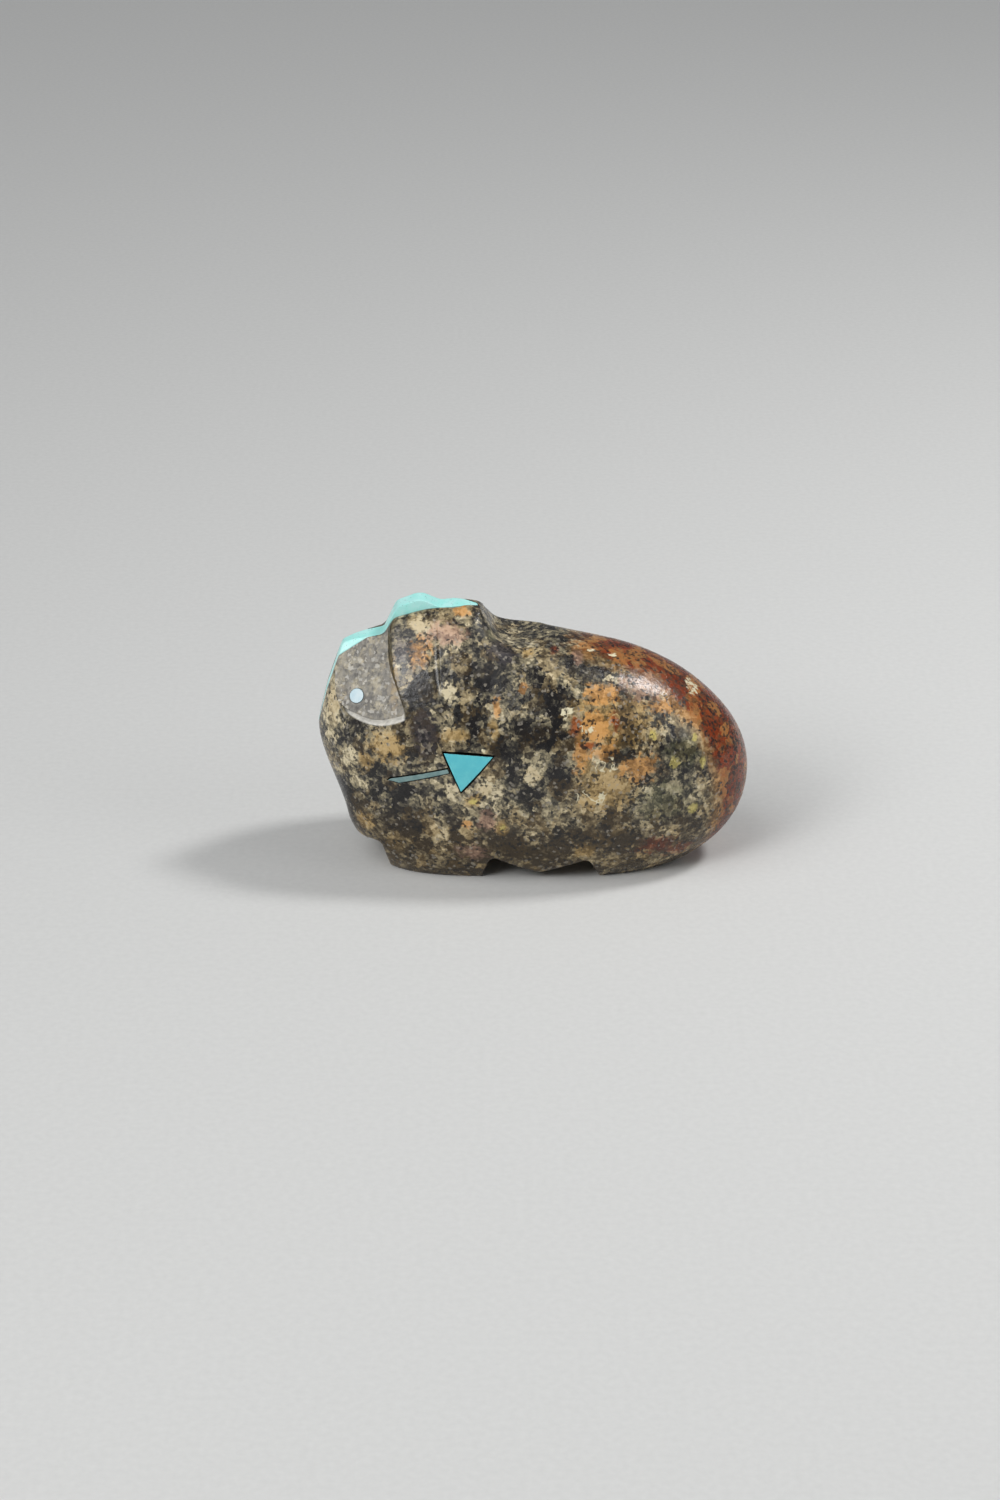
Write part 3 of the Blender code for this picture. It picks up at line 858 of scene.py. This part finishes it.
def rind_and_halo(rock, across, deep, up, ragged):
    """How much there is of the rust-red rind, and of the orange stone that leads up to it."""
    along_share = (across - RIND_X) * (1 / RIND_ALONG)
    up_share = (up - RIND_Z) * (1 / RIND_UP)
    side_share = (RIND_SIDE - deep) * (1 / RIND_SIDE)
    out = along_share * along_share + up_share * up_share + side_share * side_share * 0.4 + ragged * 0.08
    rind = rock.rise(out, 1.12, 1.22) * rock.rise(across + ragged * 5.0, 5.0, 12.0)
    halo = rock.rise(out, 1.0, 1.14) * rock.rise(across + ragged * 3.0, 4.0, 8.5)
    return rind, halo


def height_over_flat(rock, across, deep, up):
    """How far a place of either side lies over the plane of its flat, in mm."""
    folded = rock.node("ShaderNodeCombineXYZ", {}, {0: across, 1: deep * -1.0, 2: up})
    above = rock.vector("SUBTRACT", folded, tuple(FLAT_POINT))
    settings, sockets = {"operation": "DOT_PRODUCT"}, {0: above, 1: tuple(FLAT_NORMAL)}
    return rock.node("ShaderNodeVectorMath", settings, sockets, "Value")


def paint_ledge_highlight_and_step_shade(rock, colour, across, up, height, smear):
    """Paints a highlight on the flat's ledge, and shade on the step behind it."""
    from_middle = across - LEDGE_X
    from_arc = rock.maths("ABSOLUTE", up - LEDGE_Z - from_middle * from_middle * LEDGE_CURVE, 0.0)
    # The ledge's bright line is a painted highlight
    ledge_highlight = rock.rise(height, 0.04, 0.12) * rock.rise(from_arc, 0.75, 0.45)
    ledge_highlight = ledge_highlight * rock.rise(across, -30.6, -29.4) * rock.rise(across, -20.5, -21.0)
    colour = rock.mix(ledge_highlight * (0.3 + smear), colour, HIGHLIGHT_PAINT)
    # The step's dark band is painted shade
    past_edge = across - STEP_X - rock.maths("MAXIMUM", STEP_Z - up, 0.0) * STEP_LEAN
    step_shade = rock.rise(past_edge, -0.1, 0.1) * rock.rise(past_edge, 1.6, 0.7) * rock.rise(height, 0.04, 0.15)
    step_shade = step_shade * rock.rise(up, 28.4, 29.4)
    return rock.mix(step_shade * (0.35 + smear * 0.8), colour, STEP_SHADE_PAINT)


def build_granite(material):
    rock = Finish(material)
    place = rock.place_in_mm()
    across, deep, up = (rock.part(place, axis) for axis in "XYZ")
    deep = rock.maths("ABSOLUTE", deep, 0.0)
    crystal, crystal_tone, crystal_kind = grains(rock, place, *CRYSTALS)
    grain, grain_tone, grain_kind = grains(rock, place, *GRAINS)
    fleck, fleck_tone, fleck_kind = grains(rock, place, *FLECKS)
    smear, cluster, drift = (rock.noise(place, *clouds) for clouds in (SMEAR, CLUSTER, DRIFT))
    ragged = (smear - 0.5) * 0.6 + (grain_tone - 0.5) * 0.55 + (fleck_tone - 0.5) * 0.25

    def patch(group, start, end, extra_depth=EXTRA_DEPTH):
        """A group's patches with ragged rims, which go from start to end."""
        return rock.rise(nearness(rock, place, group, extra_depth) + ragged, start, end)

    pale, dark_and_shade = patch(CREAM_AND_GLINT, -0.15, 0.5), patch(DARK_AND_SHADE, -0.1, 0.4)
    ochre, yellow, orange = patch(OCHRE, -0.1, 0.5), patch(YELLOW, 0.0, 0.5), patch(ORANGE, -0.05, 0.45)
    pink_and_sheen, rust, green = patch(PINK_AND_SHEEN, -0.1, 0.5), patch(RUST, -0.1, 0.6), patch(GREY_GREEN, -0.2, 0.6)
    purple, chipped_and_glinting = patch(PURPLE, -0.1, 0.5), patch(CHIPS_AND_GLINTS, 0.1, 0.3, 0.4)
    veined = rock.rise(nearness(rock, place, VEINED), 0.0, 0.3)
    matt = rock.rise(nearness(rock, place, MATT), 0.0, 0.5)
    # Towards the bottom the pick is pushed darker, which is painted shade, and the stone is tinted ochre
    low = rock.rise(up, 16.0, 6.0)

    # The pick runs through the stone's colours: low is dark mica, high is pale feldspar
    pick = crystal * CRYSTAL_SHARE + grain * GRAIN_SHARE + fleck * FLECK_SHARE
    pick = pick + (smear - 0.5) * SMEAR_SHARE + drift * DRIFT_SHARE - PICK_DROP
    pick = pick + pale * PALE_PUSH - dark_and_shade * DARK_AND_SHADE_PUSH - low * SHADE_BELOW_PUSH + (ochre + orange + yellow) * WARM_PUSH
    colour = rock.node("ShaderNodeValToRGB", {"stops": STONE_COLOURS}, {"Fac": pick})
    shade = rock.rise(pick, 0.1, 0.85, 0.32, 1.12)
    grey = rock.node("ShaderNodeCombineColor", {}, {0: shade, 1: shade, 2: shade})

    def tinted(base, share, tint):
        """Stains the stone but keeps its light and dark grains."""
        return rock.mix(share, base, rock.mix(1.0, grey, tint, "MULTIPLY"))

    rind, halo = rind_and_halo(rock, across, deep, up, ragged)
    warm = rock.rise(drift * 0.5 + crystal_kind * 0.5, 0.5, 0.7)
    colour = tinted(colour, warm * WARM_STAIN + low * LOW_STAIN, OCHRE_PAINT)
    colour = tinted(colour, green * GREEN_STAIN, GREY_GREEN_PAINT)
    colour = tinted(colour, purple * PURPLE_STAIN, PURPLE_PAINT)
    colour = tinted(colour, ochre * OCHRE_STAIN, OCHRE_PAINT)
    colour = tinted(colour, halo * (0.3 + crystal_tone * 0.5), ORANGE_PAINT)
    colour = tinted(colour, orange * ORANGE_STAIN, ORANGE_PAINT)
    colour = tinted(colour, pink_and_sheen * PINK_AND_SHEEN_STAIN, PINK_AND_SHEEN_PAINT)
    colour = tinted(colour, rust * RUST_STAIN, RUST_PAINT)
    colour = tinted(colour, yellow * YELLOW_STAIN, YELLOW_PAINT)

    # The rind is rust with dark streaks and a few orange grains
    rust_share = rock.rise(smear * 0.9 + grain_kind * 0.2 + fleck * 0.2, 0.45, 0.85)
    rind_colour = rock.mix(rust_share, RUST_PAINT, DEEP_RUST_PAINT)
    orange_share = rock.rise(crystal_tone + ragged * 0.3, 0.55, 0.8) * 0.45
    rind_colour = rock.mix(orange_share, rind_colour, ORANGE_PAINT)
    # Where the pink patches lie, partly painted sheen, the rind gives way
    colour = rock.mix(rind * (1.0 - pink_and_sheen * 0.8) * 0.9, colour, rind_colour)

    # Mica: black flecks, thicker in the dark patches, with a few painted glints of light among them
    amount = 0.05 + rock.rise(cluster, 0.4, 0.7) * 0.2 + dark_and_shade * 0.14 - pale * 0.05 + rind * 0.05
    mica = rock.rise(amount - fleck_kind + ragged * 0.1, -0.01, 0.03)
    colour = rock.mix(mica * MICA_DARKNESS, colour, MICA_PAINT)
    glint_highlight = rock.rise(fleck_tone + ragged * 0.08, 0.95, 0.98) * (1.0 - rind)
    colour = rock.mix(glint_highlight * GLINT_HIGHLIGHT_BRIGHTNESS, colour, GLINT_HIGHLIGHT_PAINT)
    # White veins, chips, and painted glints among the chips
    vein = rock.rise(rock.maths("ABSOLUTE", cluster - 0.5, 0.0), 0.03, 0.008) * veined
    white = rock.maths("MAXIMUM", vein * VEIN_BRIGHTNESS, chipped_and_glinting * rock.rise(smear, 0.4, 0.55))
    colour = rock.mix(white, colour, VEIN_CHIP_AND_GLINT_PAINT)

    # The flat by the eye is ground but not polished. It is painted paler, partly for its ground face and partly
    # as painted sheen, with fine streaks and painted glitter
    height = height_over_flat(rock, across, deep, up)
    head = rock.rise(across, -20.0, -20.6)
    on_it = rock.rise(rock.maths("ABSOLUTE", height, 0.0), 0.1, 0.04) * head * rock.rise(up, 26.6, 27.0)
    streak_place = rock.vector("MULTIPLY", place, (1.0, 1.0, 0.25))
    streak = rock.rise(rock.noise(streak_place, *STREAK), 0.35, 0.65)
    colour = rock.mix(on_it * (0.3 + streak * 0.45), colour, FLAT_AND_SHEEN_PAINT)
    # Painted glitter: pale specks that stand for glints of light on the flat
    colour = rock.mix(on_it * rock.rise(fleck_kind, 0.8, 0.95) * 0.4, colour, HIGHLIGHT_PAINT)
    colour = paint_ledge_highlight_and_step_shade(rock, colour, across, up, height, smear)

    rough = 0.18 + mica * 0.1 + smear * 0.16 + on_it * 0.12 + matt * 0.3
    pits = rock.rise(smear, 0.34, 0.26)
    relief = cluster * 1.1 + smear * 0.8 - pits * 0.3
    sockets = {"Strength": BUMP_STRENGTH, "Distance": BUMP_HEIGHT * mm, "Height": relief}
    bump = rock.node("ShaderNodeBump", {}, sockets, "Normal")
    rock.set(Base_Color=colour, Roughness=rough, Normal=bump, IOR=STONE_IOR)


build_granite(granite)
print("nodes in the granite:", len(granite.node_tree.nodes))

# %% [markdown]
# ## Turquoise and glue
# The crest is a light blue-green stone with a few dark specks, and the arrowhead a deeper blue. The thin
# shaft is greyer, the eyes are a paler blue that is partly painted sheen, and the glue is a plain black resin.

# %% Build the turquoise and the glue
CREST_PAINT, CREST_DEEP_PAINT = paint(196, 252, 247), paint(172, 248, 240)
ARROW_PAINT, ARROW_DEEP_PAINT = paint(106, 208, 217), paint(92, 198, 211)
SHAFT_PAINT, SHAFT_DEEP_PAINT = paint(128, 156, 154), paint(98, 130, 132)
# The eyes' pale blue is partly their stone and partly painted sheen
EYE_AND_SHEEN_PAINT, EYE_DEEP_AND_SHEEN_PAINT = paint(206, 226, 232), paint(186, 214, 224)
SPECK_PAINT, GLUE_PAINT = paint(40, 58, 56), paint(22, 18, 14)
# Clouds of noise: their size in mm and their detail
BLUE_CLOUDS, FINE_CLOUDS = (2.0, 5.0), (0.3, 3.0)
BLUE_BUMP_STRENGTH, BLUE_BUMP_HEIGHT = 0.2, 0.03
GLUE_ROUGHNESS = 0.4


def build_turquoise(name, light, deep, specks):
    """Blue stone in two shades. More specks show as the last number goes up from nought."""
    blue = Finish(bpy.data.materials.new(name))
    place = blue.place_in_mm()
    cloud, fine = blue.noise(place, *BLUE_CLOUDS), blue.noise(place, *FINE_CLOUDS)
    colour = blue.mix(blue.rise(cloud, 0.35, 0.65), light, deep)
    colour = blue.mix(blue.rise(fine, 0.8 - specks * 0.1, 0.84 - specks * 0.1), colour, SPECK_PAINT)
    sockets = {"Strength": BLUE_BUMP_STRENGTH, "Distance": BLUE_BUMP_HEIGHT * mm, "Height": fine}
    bump = blue.node("ShaderNodeBump", {}, sockets, "Normal")
    blue.set(Base_Color=colour, Roughness=0.25 + fine * 0.1, Normal=bump)
    return blue.material


turquoises = {
    "crest_inlay": build_turquoise("crest_turquoise", CREST_PAINT, CREST_DEEP_PAINT, 1.4),
    "heartline_arrowhead": build_turquoise("arrow_turquoise", ARROW_PAINT, ARROW_DEEP_PAINT, 0.0),
    "heartline_shaft": build_turquoise("shaft_turquoise", SHAFT_PAINT, SHAFT_DEEP_PAINT, 0.5),
}
eye_stone_and_sheen = build_turquoise("eye_stone_and_sheen", EYE_AND_SHEEN_PAINT, EYE_DEEP_AND_SHEEN_PAINT, 0.0)
turquoises["eye_left"] = turquoises["eye_right"] = eye_stone_and_sheen
Finish(glue).set(Base_Color=GLUE_PAINT, Roughness=GLUE_ROUGHNESS)
print("turquoises:", ", ".join(turquoises))

# %% [markdown]
# ## Hand the pieces over
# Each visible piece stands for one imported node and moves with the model's one body. Edges stay sharp where
# two faces meet at more than a slight angle, and the flats are shaded flat. The heartline's side walls are
# coated with glue.

# %% Shade and place the pieces
SHARP_EDGE = math.radians(20)
ON_THE_FLAT = 0.9999


def coat_walls(inlay, opening):
    """Leaves glue on the faces that don't face out of the socket."""
    inlay.data.materials.append(glue)
    for face in inlay.data.polygons:
        if face.normal.dot(opening) < FACES_THAT_WAY:
            face.material_index = 1


def hand_over(piece, node):
    only(piece)
    bpy.ops.object.shade_smooth_by_angle(angle=SHARP_EDGE)
    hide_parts(node)
    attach(piece, "root")


hand_over(stone, "stone_body")
for normal in (FLAT_NORMAL, RIGHT_FLAT_NORMAL):
    select_facing(stone, normal, ON_THE_FLAT)
    bpy.ops.mesh.faces_shade_flat()
    close()
for node, inlay in inlays.items():
    inlay.data.materials.append(turquoises[node])
    if node.startswith("heartline"):
        coat_walls(inlay, LEFTWARDS)
    hand_over(inlay, node)
    print(inlay.name, "stands for", node)

# %% [markdown]
# ## The studio
# A pale floor and soft light, as for a small stone on a table. A small panel up on the right gives the
# highlight on the rump. A panel in front on the left lights the face, and a weak one on the right the flank.
# A window light falls evenly on the whole floor, and its spread makes its shadows soft. The world fills in
# the shade.

# %% Floor, lights and world
FLOOR_SIZE = 8.0
FLOOR_PAINT, FLOOR_PALE_PAINT = paint(208, 208, 206), paint(220, 220, 218)
FIBRES_PER_METRE, FIBRE_DETAIL = 900.0, 4.0
FLOOR_ROUGHNESS = 0.9
# Name: place, size in metres, power in watts
PANELS = {
    "overhead_panel": ((0.34, 0.08, 0.49), 0.10, 1.5),
    "front_left_panel": ((-0.36, -0.42, 0.40), 0.24, 1.4),
    "right_panel": ((0.55, -0.25, 0.35), 0.30, 0.5),
}
AIM = Vector((0.0, 0.0, 0.02))
WINDOW_PLACE = (-0.6, -0.5, 1.0)
WINDOW_POWER = 1.05
WINDOW_SPREAD = math.radians(50)
WORLD_LIGHT, WORLD_PAINT = 0.18, paint(236, 240, 246)


def build_floor():
    bpy.ops.mesh.primitive_plane_add(size=FLOOR_SIZE)
    floor = bpy.context.object
    floor.name = "floor"
    paper = Finish(bpy.data.materials.new("pale_paper"))
    place = paper.node("ShaderNodeTexCoord", {}, {}, "Object")
    sockets = {"Vector": place, "Scale": FIBRES_PER_METRE, "Detail": FIBRE_DETAIL}
    fibre = paper.node("ShaderNodeTexNoise", {}, sockets, "Fac")
    paper.set(Base_Color=paper.mix(fibre, FLOOR_PAINT, FLOOR_PALE_PAINT), Roughness=FLOOR_ROUGHNESS)
    floor.data.materials.append(paper.material)


def add_light(kind, name, place, power):
    """Adds a light that faces the object, and gives back its own data."""
    bpy.ops.object.light_add(type=kind, location=place)
    light = bpy.context.object
    light.name = name
    light.data.energy = power
    light.rotation_euler = (AIM - light.location).to_track_quat("-Z", "Y").to_euler()
    return light.data


build_floor()
for name, (place, size, power) in PANELS.items():
    add_light("AREA", name, place, power).size = size
add_light("SUN", "window_light", WINDOW_PLACE, WINDOW_POWER).angle = WINDOW_SPREAD
world = bpy.data.worlds.new("studio")
bpy.context.scene.world = world
world.use_nodes = True
sky = world.node_tree.nodes["Background"]
sky.inputs["Color"].default_value = WORLD_PAINT
sky.inputs["Strength"].default_value = WORLD_LIGHT
bpy.context.scene.view_settings.view_transform = "Standard"
print("lights:", ", ".join(PANELS), "and window_light")
